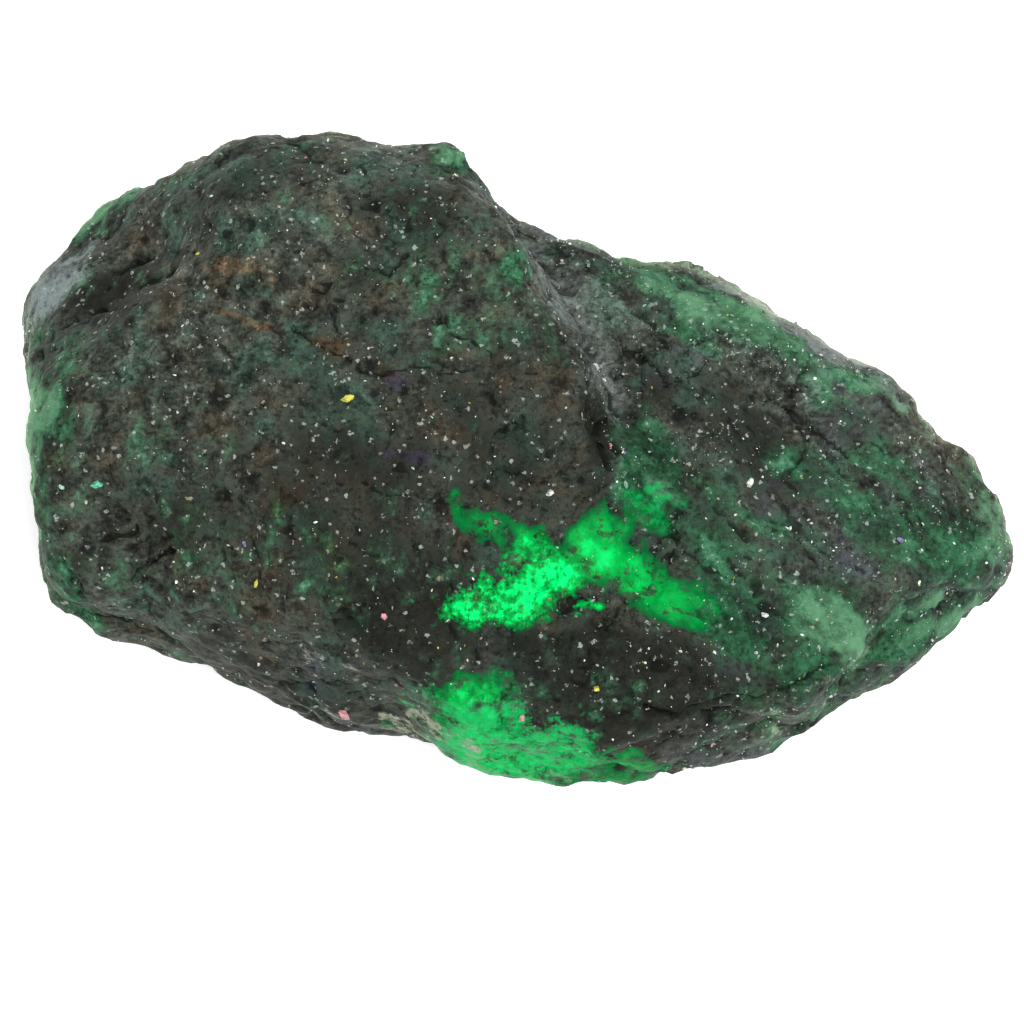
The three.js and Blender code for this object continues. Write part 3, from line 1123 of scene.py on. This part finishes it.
@dataclass(frozen=True)
class Signal:
    """A number or a colour on its way through a material's nodes."""

    graph: "Graph"
    socket: bpy.types.NodeSocket

    def also(self, output: str) -> "Signal":
        """Another output of the same node."""
        return Signal(self.graph, self.socket.node.outputs[output])

    def __add__(self, other: "Number") -> "Signal":
        """The sum."""
        return self.graph.calculate("ADD", self, other)

    def __radd__(self, other: "Number") -> "Signal":
        """The sum."""
        return self.graph.calculate("ADD", other, self)

    def __sub__(self, other: "Number") -> "Signal":
        """The difference."""
        return self.graph.calculate("SUBTRACT", self, other)

    def __rsub__(self, other: "Number") -> "Signal":
        """The difference, the other way round."""
        return self.graph.calculate("SUBTRACT", other, self)

    def __mul__(self, other: "Number") -> "Signal":
        """The product."""
        return self.graph.calculate("MULTIPLY", self, other)

    def __rmul__(self, other: "Number") -> "Signal":
        """The product."""
        return self.graph.calculate("MULTIPLY", other, self)


Number = Signal | float


class Graph:
    """The nodes of one material."""

    def __init__(self, name: str) -> None:
        """Makes an empty material with a Principled shader.

        Args:
            name: The material's name.
        """
        self.material = bpy.data.materials.new(name)
        self.material.use_nodes = True
        self.tree = self.material.node_tree
        self.shader = self.tree.nodes["Principled BSDF"]
        self.places = self.add("ShaderNodeTexCoord", output="Object")

    def add(
        self,
        kind: str,
        settings: dict[str, object] | None = None,
        inputs: dict[str | int, object] | None = None,
        output: str | int = 0,
    ) -> Signal:
        """Adds a node.

        Args:
            kind: The node's type.
            settings: Its own values, set first. The key "stops" gives a ramp's stops.
            inputs: Values or signals for its sockets, by name, identifier or index.
            output: The output to return.

        Returns:
            The chosen output.
        """
        node = self.tree.nodes.new(kind)
        for name, value in (settings or {}).items():
            if name == "stops":
                self._set_stops(node.color_ramp, value)
            else:
                setattr(node, name, value)
        for name, value in (inputs or {}).items():
            self._feed(self._socket(node.inputs, name), value)
        return Signal(self, self._socket(node.outputs, output))

    @staticmethod
    def _set_stops(ramp: bpy.types.ColorRamp, stops: Sequence[tuple[float, Colour]]) -> None:
        """Gives a ramp its stops.

        Args:
            ramp: The ramp.
            stops: Each stop's position and colour.
        """
        while len(ramp.elements) < len(stops):
            ramp.elements.new(1.0)
        for element, (position, colour) in zip(ramp.elements, stops):
            element.position = position
            element.color = (*colour, 1.0)

    @staticmethod
    def _socket(sockets: bpy.types.bpy_prop_collection, name: str | int) -> bpy.types.NodeSocket:
        """Finds a socket.

        Args:
            sockets: A node's inputs or outputs.
            name: The socket's index, identifier or name.

        Returns:
            The socket.
        """
        if isinstance(name, int):
            return sockets[name]
        by_identifier = [s for s in sockets if s.identifier == name]
        return by_identifier[0] if by_identifier else sockets[name]

    def _feed(self, socket: bpy.types.NodeSocket, value: object) -> None:
        """Links a signal to a socket, or sets its value.

        Args:
            socket: The socket to feed.
            value: A signal, a number or a colour.
        """
        if isinstance(value, Signal):
            self.tree.links.new(value.socket, socket)
        elif socket.type == "RGBA" and len(value) == 3:
            socket.default_value = (*value, 1.0)
        else:
            socket.default_value = value

    def calculate(self, operation: str, one: Number, other: Number) -> Signal:
        """One Math node."""
        return self.add("ShaderNodeMath", {"operation": operation}, {0: one, 1: other})

    def blend(self, share: Number, below: object, above: object, mode: str = "MIX") -> Signal:
        """Mixes two colours.

        Args:
            share: How much of the upper colour shows.
            below: The lower colour.
            above: The upper colour.
            mode: How they mix.

        Returns:
            The mixed colour.
        """
        settings = {"data_type": "RGBA", "blend_type": mode, "clamp_factor": True}
        inputs = {"Factor_Float": share, "A_Color": below, "B_Color": above}
        return self.add("ShaderNodeMix", settings, inputs, "Result_Color")

    def step(self, value: Number, low: float, high: float) -> Signal:
        """0 below low, 1 above high and a smooth rise between them."""
        return self.add(
            "ShaderNodeMapRange",
            {"interpolation_type": "SMOOTHSTEP"},
            {"Value": value, "From Min": low, "From Max": high},
        )

    def speckle(self, size: float, detail: float = 3.0, rough: float = 0.55) -> Signal:
        """Soft noise about 0.5.

        Args:
            size: The size of its spots in millimetres.
            detail: How many finer layers it has.
            rough: How strong the finer layers are.

        Returns:
            The noise.
        """
        inputs = {
            "Vector": self.places, "Scale": 1 / (size * MM),
            "Detail": detail, "Roughness": rough,
        }
        return self.add("ShaderNodeTexNoise", {}, inputs)

    def attribute(self, name: str) -> Signal:
        """A number kept on the mesh."""
        return self.add("ShaderNodeAttribute", {"attribute_name": name}, output="Fac")

    def finish(self, **sockets: object) -> bpy.types.Material:
        """Sets or links the shader's sockets.

        Args:
            sockets: Values or signals by socket name, with _ for a space.

        Returns:
            The finished material.
        """
        for name, value in sockets.items():
            self._feed(self.shader.inputs[name.replace("_", " ")], value)
        return self.material


@dataclass(frozen=True)
class RockFinish:
    """The finish of schist with emerald in it. Colours are linear."""

    schist: tuple[tuple[float, Colour], ...] = (
        (0.22, (0.008, 0.0088, 0.0075)),
        (0.42, (0.027, 0.031, 0.024)),
        (0.6, (0.058, 0.068, 0.053)),
        (0.76, (0.11, 0.13, 0.105)),
        (0.95, (0.23, 0.26, 0.22)),
    )
    emerald: tuple[tuple[float, Colour], ...] = (
        (0.24, (0.003, 0.011, 0.006)),
        (0.42, (0.01, 0.045, 0.02)),
        (0.58, (0.024, 0.11, 0.05)),
        (0.78, (0.075, 0.22, 0.125)),
    )
    # The painted glow of light through the clear emerald, used as emission and in part as base
    # colour.
    light: tuple[tuple[float, Colour], ...] = (
        (0.28, (0.0, 0.03, 0.01)),
        (0.52, (0.0, 0.14, 0.024)),
        (0.76, (0.0, 0.37, 0.05)),
        (1.0, (0.0, 0.9, 0.18)),
    )
    charcoal: Colour = (0.008, 0.0083, 0.006)
    brown: Colour = (1.4, 0.95, 0.8)
    teal: Colour = (0.85, 1.45, 1.35)
    plum: Colour = (1.35, 1.2, 1.65)
    pale_green: Colour = (0.095, 0.235, 0.125)
    # Part of the painted glow, where the pale skin lies over clear emerald.
    mint: Colour = (0.006, 0.37, 0.092)
    # Whitish crumbs, and painted light from below on the lower front rims.
    frost: Colour = (0.34, 0.38, 0.27)
    rim_light_grey: Colour = (0.3, 0.31, 0.23)
    # Painted rim light: the tint and the grey that pale the rims turned edge-on to the camera.
    rim_light: Colour = (2.6, 2.6, 2.15)
    # Rust, which along the lower front left wall is also a painted warm glow.
    rust: Colour = (1.7, 0.9, 0.62)
    facet: Colour = (0.22, 0.275, 0.27)
    # Lilac grey on the low lobe, which along the upper right rim is also painted light.
    lilac_grey_and_rim_light: Colour = (0.18, 0.195, 0.19)
    violet: Colour = (0.045, 0.03, 0.075)
    glint: Colour = (0.36, 0.4, 0.36)
    # Painted shade in the hollows, and the colour of the black specks and veins.
    shade_and_black_specks: Colour = (0.002, 0.002, 0.002)
    clear_body: Colour = (0.0, 0.02, 0.006)
    unlit: Colour = (0.0, 0.0, 0.0)
    fine_grain: float = 0.24
    fray: float = 0.3
    vein: float = 1.6
    nodule: float = 0.55
    speck: float = 1.3
    roughness: float = 0.5
    specular: float = 0.05

    def material(self) -> bpy.types.Material:
        """Builds the finish.

        Returns:
            The material.
        """
        g = Graph("emerald_schist")
        fine = g.speckle(0.4, 3.0, 0.65)
        frayed = g.add(
            "ShaderNodeVectorMath", {"operation": "MULTIPLY_ADD"},
            {0: fine.also("Color"), 1: (self.fray * MM,) * 3, 2: g.places},
        )
        cells = g.add(
            "ShaderNodeTexVoronoi", {"feature": "F1", "distance": "MANHATTAN"},
            {"Vector": frayed, "Scale": 1 / (self.fine_grain * MM)}, "Color",
        )
        parts = [g.add("ShaderNodeSeparateColor", {}, {"Color": cells}, part)
                 for part in ("Red", "Green", "Blue")]
        grain = 0.55 * (fine - 0.5) + 0.16 * (parts[0] - 0.5)
        other = 0.55 * (fine - 0.5) + 0.16 * (parts[1] - 0.5)
        rock = self._schist(g, grain, other)
        rock = self._emerald(g, rock, grain, other)
        rock = self._stains(g, rock, other)
        rock = self._frost(g, rock, grain)
        rock = self._depth(g, rock, fine, parts[2])
        light, share = self._painted_emerald_glow(g, frayed, grain, parts[0])
        # The clear emerald's base colour takes in part of the painted glow.
        colour = g.blend(share, rock, g.blend(0.7, light, self.clear_body))
        rough = self.roughness + 0.5 * (fine - 0.5) - 0.1 * g.step(parts[2], 0.7, 0.9)
        return g.finish(
            Base_Color=colour,
            Roughness=rough,
            Normal=self._grain(g, fine, parts[0]),
            # The glow of light through the emerald is painted in as emission.
            Emission_Color=g.blend(share, self.unlit, light),
            Emission_Strength=1.0,
            Specular_IOR_Level=self.specular,
        )

    def _schist(self, g: Graph, grain: Signal, other: Signal) -> Signal:
        """Dark mica schist: brown, slate and plum grains with paler flakes.

        Args:
            g: The material's nodes.
            grain: The grain's first noise, about 0.
            other: The grain's second noise, about 0.

        Returns:
            The rock's colour.
        """
        tone = 0.505 + 0.02 * g.attribute("low_lobe") + 1.1 * grain + 0.1 * g.attribute("swell")
        tone = tone + 0.2 * g.attribute("mottle") + 0.14 * g.attribute("streak")
        rock = g.add("ShaderNodeValToRGB", {"stops": self.schist}, {"Fac": tone})
        warmth = g.attribute("warmth") + 0.9 * other
        plum = g.step(g.attribute("swell"), -0.4, 0.2) * g.attribute("low_lobe")
        cool = g.blend(plum, self.teal, self.plum)
        rock = g.blend(g.step(warmth, 0.5, 1.2) * 0.75, rock, self.brown, "MULTIPLY")
        rock = g.blend(g.step(warmth, 0.3, -0.2) * 0.75, rock, cool, "MULTIPLY")
        # Dark mica, which in the deep pit at the crest is painted shade.
        mica = g.attribute(Zone.MICA_AND_SHADE.value) + grain
        return g.blend(g.step(mica, 0.3, 1.0) * 0.85, rock, self.charcoal)

    def _emerald(self, g: Graph, rock: Signal, grain: Signal, other: Signal) -> Signal:
        """Cloudy emerald in the schist, and its pale skin, which on the upper right rim is
        painted light.

        Args:
            g: The material's nodes.
            rock: The colour so far.
            grain: The grain's first noise, about 0.
            other: The grain's second noise, about 0.

        Returns:
            The colour with emerald in it.
        """
        calm = 0.9 - 0.3 * g.attribute("low_lobe")
        tone = 0.48 + calm * other + 0.18 * g.attribute("streak") + 0.12 * g.attribute("swell")
        body = g.add("ShaderNodeValToRGB", {"stops": self.emerald}, {"Fac": tone})
        amount = g.attribute(Zone.EMERALD.value) + 0.6 * grain
        rock = g.blend(g.step(amount, 0.1, 0.95) * 0.95, rock, body)
        skin = g.attribute(Zone.PALE.value) + 0.6 * other
        return g.blend(g.step(skin, 0.3, 1.1), rock, self.pale_green)

    def _stains(self, g: Graph, rock: Signal, grain: Signal) -> Signal:
        """Rust, with a painted warm glow on the lower front left wall; the grey facets, with a
        paler upper right rim of painted light; and the violet film.

        Args:
            g: The material's nodes.
            rock: The colour so far.
            grain: The grain's first noise, about 0.

        Returns:
            The stained colour.
        """
        # The rust mask also carries the painted warm glow on the lower front left wall.
        rust = g.step(g.attribute(Zone.RUST.value) + 1.4 * grain, 0.3, 1.2)
        rock = g.blend(rust * 0.9, rock, self.rust, "MULTIPLY")
        grey = g.step(g.attribute(Zone.GREY.value) + 1.6 * grain, 0.35, 1.25)
        stone = g.blend(g.attribute("low_lobe"), self.facet, self.lilac_grey_and_rim_light)
        rock = g.blend(grey * 0.8, rock, stone)
        violet = g.step(g.attribute(Zone.VIOLET.value) + 0.8 * grain, 0.35, 1.0)
        return g.blend(violet * 0.6, rock, self.violet)

    def _frost(self, g: Graph, rock: Signal, grain: Signal) -> Signal:
        """Painted rim light on the paler rims, and whitish crumbs along broken ones, with
        painted light from below on the lower front rims.

        Args:
            g: The material's nodes.
            rock: The colour so far.
            grain: The grain's first noise, about 0.

        Returns:
            The colour with its rims.
        """
        # Whitish crumbs, with painted light from below on the lower front rims.
        frost = g.step(g.attribute(Zone.FROST.value) + 1.2 * grain, 0.35, 0.8)
        # Painted rim light: rims turned edge-on to the camera are brightened and paled.
        rock = g.blend(g.attribute("rim"), rock, self.rim_light, "MULTIPLY")
        rock = g.blend(g.attribute("rim") * 0.2, rock, self.rim_light_grey)
        return g.blend(frost * 0.7, rock, self.frost)

    def _depth(self, g: Graph, rock: Signal, fine: Signal, cell: Signal) -> Signal:
        """Paints shade into the hollows, lays black specks among the grains, and paints glints
        on a few.

        Args:
            g: The material's nodes.
            rock: The colour so far.
            fine: Fine noise about 0.5.
            cell: A random number for each grain.

        Returns:
            The deepened colour.
        """
        # Painted shade: the deeper a vertex lies under its surroundings, the darker it is
        # painted.
        hollow = g.attribute("hollow")
        dark = g.step(hollow + 0.9 * (fine - 0.5), 0.2, 0.95)
        pepper = g.step(cell, 0.16, 0.02) * g.step(fine, 0.56, 0.4)
        wander = g.speckle(self.vein, 3.0, 0.6)
        vein = g.step(g.calculate("ABSOLUTE", wander - 0.5, 0.0), 0.014, 0.002)
        calm = 0.78 - 0.35 * g.step(g.attribute(Zone.PALE.value), 0.2, 0.7)
        calm = calm - 0.03 * g.attribute("low_lobe")
        dark = g.calculate("MAXIMUM", dark, g.calculate("MAXIMUM", pepper * 0.8, vein * 0.6))
        rock = g.blend(dark * calm, rock, self.shade_and_black_specks)
        # Painted glints: a few grain cells are lightened toward the glint colour.
        flake = g.step(cell, 0.965, 0.985) * g.step(fine, 0.42, 0.55)
        return g.blend(flake * 0.6, rock, self.glint)

    def _painted_emerald_glow(self, g: Graph, frayed: Signal, grain: Signal,
                       cell: Signal) -> tuple[Signal, Signal]:
        """Clear emerald with a painted glow of light coming through it, brightest in its
        nodules.

        Args:
            g: The material's nodes.
            frayed: Object places with frayed edges.
            grain: The grain's first noise, about 0.
            cell: A random number for each grain.

        Returns:
            The painted glow's colour, and how much of it shows.
        """
        clear = g.attribute(Zone.CLEAR.value)
        distance = g.add(
            "ShaderNodeTexVoronoi", {"feature": "F1"},
            {"Vector": frayed, "Scale": 1 / (self.nodule * MM)}, "Distance",
        )
        crust = g.step(g.attribute(Zone.CRUST.value), 0.2, 0.8)
        level = clear + grain * (0.2 + 1.0 * crust) + crust * 0.5 * (0.46 - distance)
        level = level + 0.1 * (cell - 0.5) * (0.3 + crust)
        light = g.add("ShaderNodeValToRGB", {"stops": self.light}, {"Fac": level})
        skin = g.step(g.attribute(Zone.PALE.value) + 1.2 * grain, 0.2, 0.8)
        light = g.blend(skin * 0.75, light, self.mint)
        bare = 1 - g.step(g.attribute(Zone.FROST.value) + grain, 0.35, 0.7)
        speck = g.step(g.speckle(self.speck, 4.0, 0.75), 0.52, 0.6)
        speck = speck * (1 - 0.75 * g.step(clear, 0.65, 0.9))
        return light, g.step(level, 0.3, 0.42) * bare * (1 - 0.8 * speck)

    def _grain(self, g: Graph, fine: Signal, cell: Signal) -> Signal:
        """The finest relief, under the spacing of the mesh.

        Args:
            g: The material's nodes.
            fine: Fine noise about 0.5.
            cell: A random number for each grain.

        Returns:
            The bumped normal.
        """
        height = fine + 0.15 * cell
        return g.add(
            "ShaderNodeBump", {}, {"Strength": 0.8, "Distance": 0.14 * MM, "Height": height},
            "Normal",
        )


@dataclass(frozen=True)
class GrainFinish:
    """The finish of loose mica and quartz."""

    roughness: float = 0.22

    def material(self) -> bpy.types.Material:
        """Builds the finish.

        Returns:
            The material.
        """
        g = Graph("loose_mica")
        tint = g.add("ShaderNodeAttribute", {"attribute_name": "tint"}, output="Color")
        cloud = g.speckle(0.25, 2.0)
        shade = g.add("ShaderNodeVectorMath", {"operation": "SCALE"}, {0: tint, "Scale": 0.45})
        colour = g.blend(g.step(cloud, 0.35, 0.65), shade, tint)
        return g.finish(
            Base_Color=colour, Roughness=self.roughness + 0.3 * cloud,
            Normal=g.add("ShaderNodeBump", {}, {"Strength": 0.3, "Distance": 0.05 * MM,
                                                "Height": cloud}, "Normal"),
        )


@dataclass(frozen=True)
class FloorFinish:
    """A plain white sheet that is lit a little from below."""

    white: Colour = (0.93, 0.93, 0.93)
    off_white: Colour = (0.9, 0.9, 0.905)
    light: float = 0.45

    def material(self) -> bpy.types.Material:
        """Builds the finish.

        Returns:
            The material.
        """
        g = Graph("white_sheet")
        shade = g.blend(g.speckle(40, 2.0), self.white, self.off_white)
        return g.finish(Base_Color=shade, Roughness=0.7, Emission_Color=shade,
                        Emission_Strength=self.light)


def dress(piece: bpy.types.Object, material: bpy.types.Material) -> None:
    """Gives a piece one material."""
    piece.data.materials.clear()
    piece.data.materials.append(material)


# ---------------------------------------------------------------------------------------------
# Studio
# ---------------------------------------------------------------------------------------------


@dataclass(frozen=True)
class Softbox:
    """A square lamp that looks at the stone."""

    name: str
    azimuth: float
    elevation: float
    distance: float
    width: float
    power: float


@dataclass
class Studio:
    """The floor, the lamps and the camera. Lengths are metres.

    Attributes:
        elevation: The camera's height over the horizon in degrees.
        distance: How far the camera is from what it looks at.
        view_width: The width of the view there.
        aim: What the camera looks at, as shares of the stone's half length and half depth, and
            of its height.
    """

    elevation: float = 70.0
    distance: float = 0.28
    view_width: float = 0.0725
    aim: tuple[float, float, float] = (-0.002, -0.167, 0.356)
    sensor: float = 36.0
    floor_width: float = 3.0
    world_light: float = 0.5
    lamps: tuple[Softbox, ...] = (
        Softbox("key_lamp", 35.0, 62.0, 0.6, 0.35, 3.3),
        Softbox("back_lamp", 160.0, 45.0, 0.6, 0.4, 1.8),
        Softbox("fill_lamp", -70.0, 50.0, 0.7, 0.5, 0.8),
    )

    def build(self, box: StoneBox) -> None:
        """Sets up everything around the stone.

        Args:
            box: The stone's box.
        """
        scene = bpy.context.scene
        scene.view_settings.view_transform = "Standard"
        x, y = box.plan(self.aim[0], self.aim[1])
        target = Vector((x, y, box.low.z + self.aim[2] * box.height)) * MM
        self._camera(target)
        self._floor(box)
        for lamp in self.lamps:
            self._lamp(lamp, target)
        world = bpy.data.worlds.new("studio")
        world.use_nodes = True
        world.node_tree.nodes["Background"].inputs["Color"].default_value = (1, 1, 1, 1)
        world.node_tree.nodes["Background"].inputs["Strength"].default_value = self.world_light
        scene.world = world

    @staticmethod
    def _direction(azimuth: float, elevation: float) -> Vector:
        """The direction from the stone to what stands at these angles."""
        a, e = math.radians(azimuth), math.radians(elevation)
        return Vector((math.sin(a) * math.cos(e), -math.cos(a) * math.cos(e), math.sin(e)))

    def _camera(self, target: Vector) -> None:
        """Adds the camera.

        Args:
            target: What it looks at.
        """
        back = self._direction(0.0, self.elevation)
        data = bpy.data.cameras.new("camera")
        camera = bpy.data.objects.new("camera", data)
        bpy.context.scene.collection.objects.link(camera)
        camera.location = target + back * self.distance
        camera.rotation_mode = "QUATERNION"
        camera.rotation_quaternion = (-back).to_track_quat("-Z", "Y")
        data.sensor_width = self.sensor
        data.lens = self.sensor * self.distance / self.view_width
        data.clip_start = 0.01
        bpy.context.scene.camera = camera

    def _floor(self, box: StoneBox) -> None:
        """Adds the floor that the stone lies on.

        Args:
            box: The stone's box.
        """
        deselect_all()
        bpy.ops.mesh.primitive_plane_add(
            size=self.floor_width, location=(0, 0, box.low.z * MM)
        )
        floor = bpy.context.active_object
        floor.name = "floor"
        dress(floor, FloorFinish().material())

    def _lamp(self, lamp: Softbox, target: Vector) -> None:
        """Adds one lamp.

        Args:
            lamp: The lamp's place, size and power.
            target: What it looks at.
        """
        data = bpy.data.lights.new(lamp.name, "AREA")
        data.size = lamp.width
        data.energy = lamp.power
        toward = self._direction(lamp.azimuth, lamp.elevation)
        light = bpy.data.objects.new(lamp.name, data)
        bpy.context.scene.collection.objects.link(light)
        light.location = target + toward * lamp.distance
        light.rotation_mode = "QUATERNION"
        light.rotation_quaternion = toward.to_track_quat("Z", "Y")


def report(piece: bpy.types.Object) -> None:
    """Logs a piece's size."""
    faces = sum(len(p.vertices) - 2 for p in piece.data.polygons)
    LOG.info("%s: %d triangles", piece.name, faces)


def main() -> None:
    """Builds the stone, its grains and the studio."""
    logging.basicConfig(level=logging.INFO, format="%(name)s: %(message)s")
    deselect_all()
    stone = RoughStone()
    report(stone.build())
    dress(stone.piece, RockFinish().material())
    grains = LooseGrains().build(stone)
    report(grains)
    dress(grains, GrainFinish().material())
    Studio().build(stone.box)


if __name__ == "__main__":
    main()
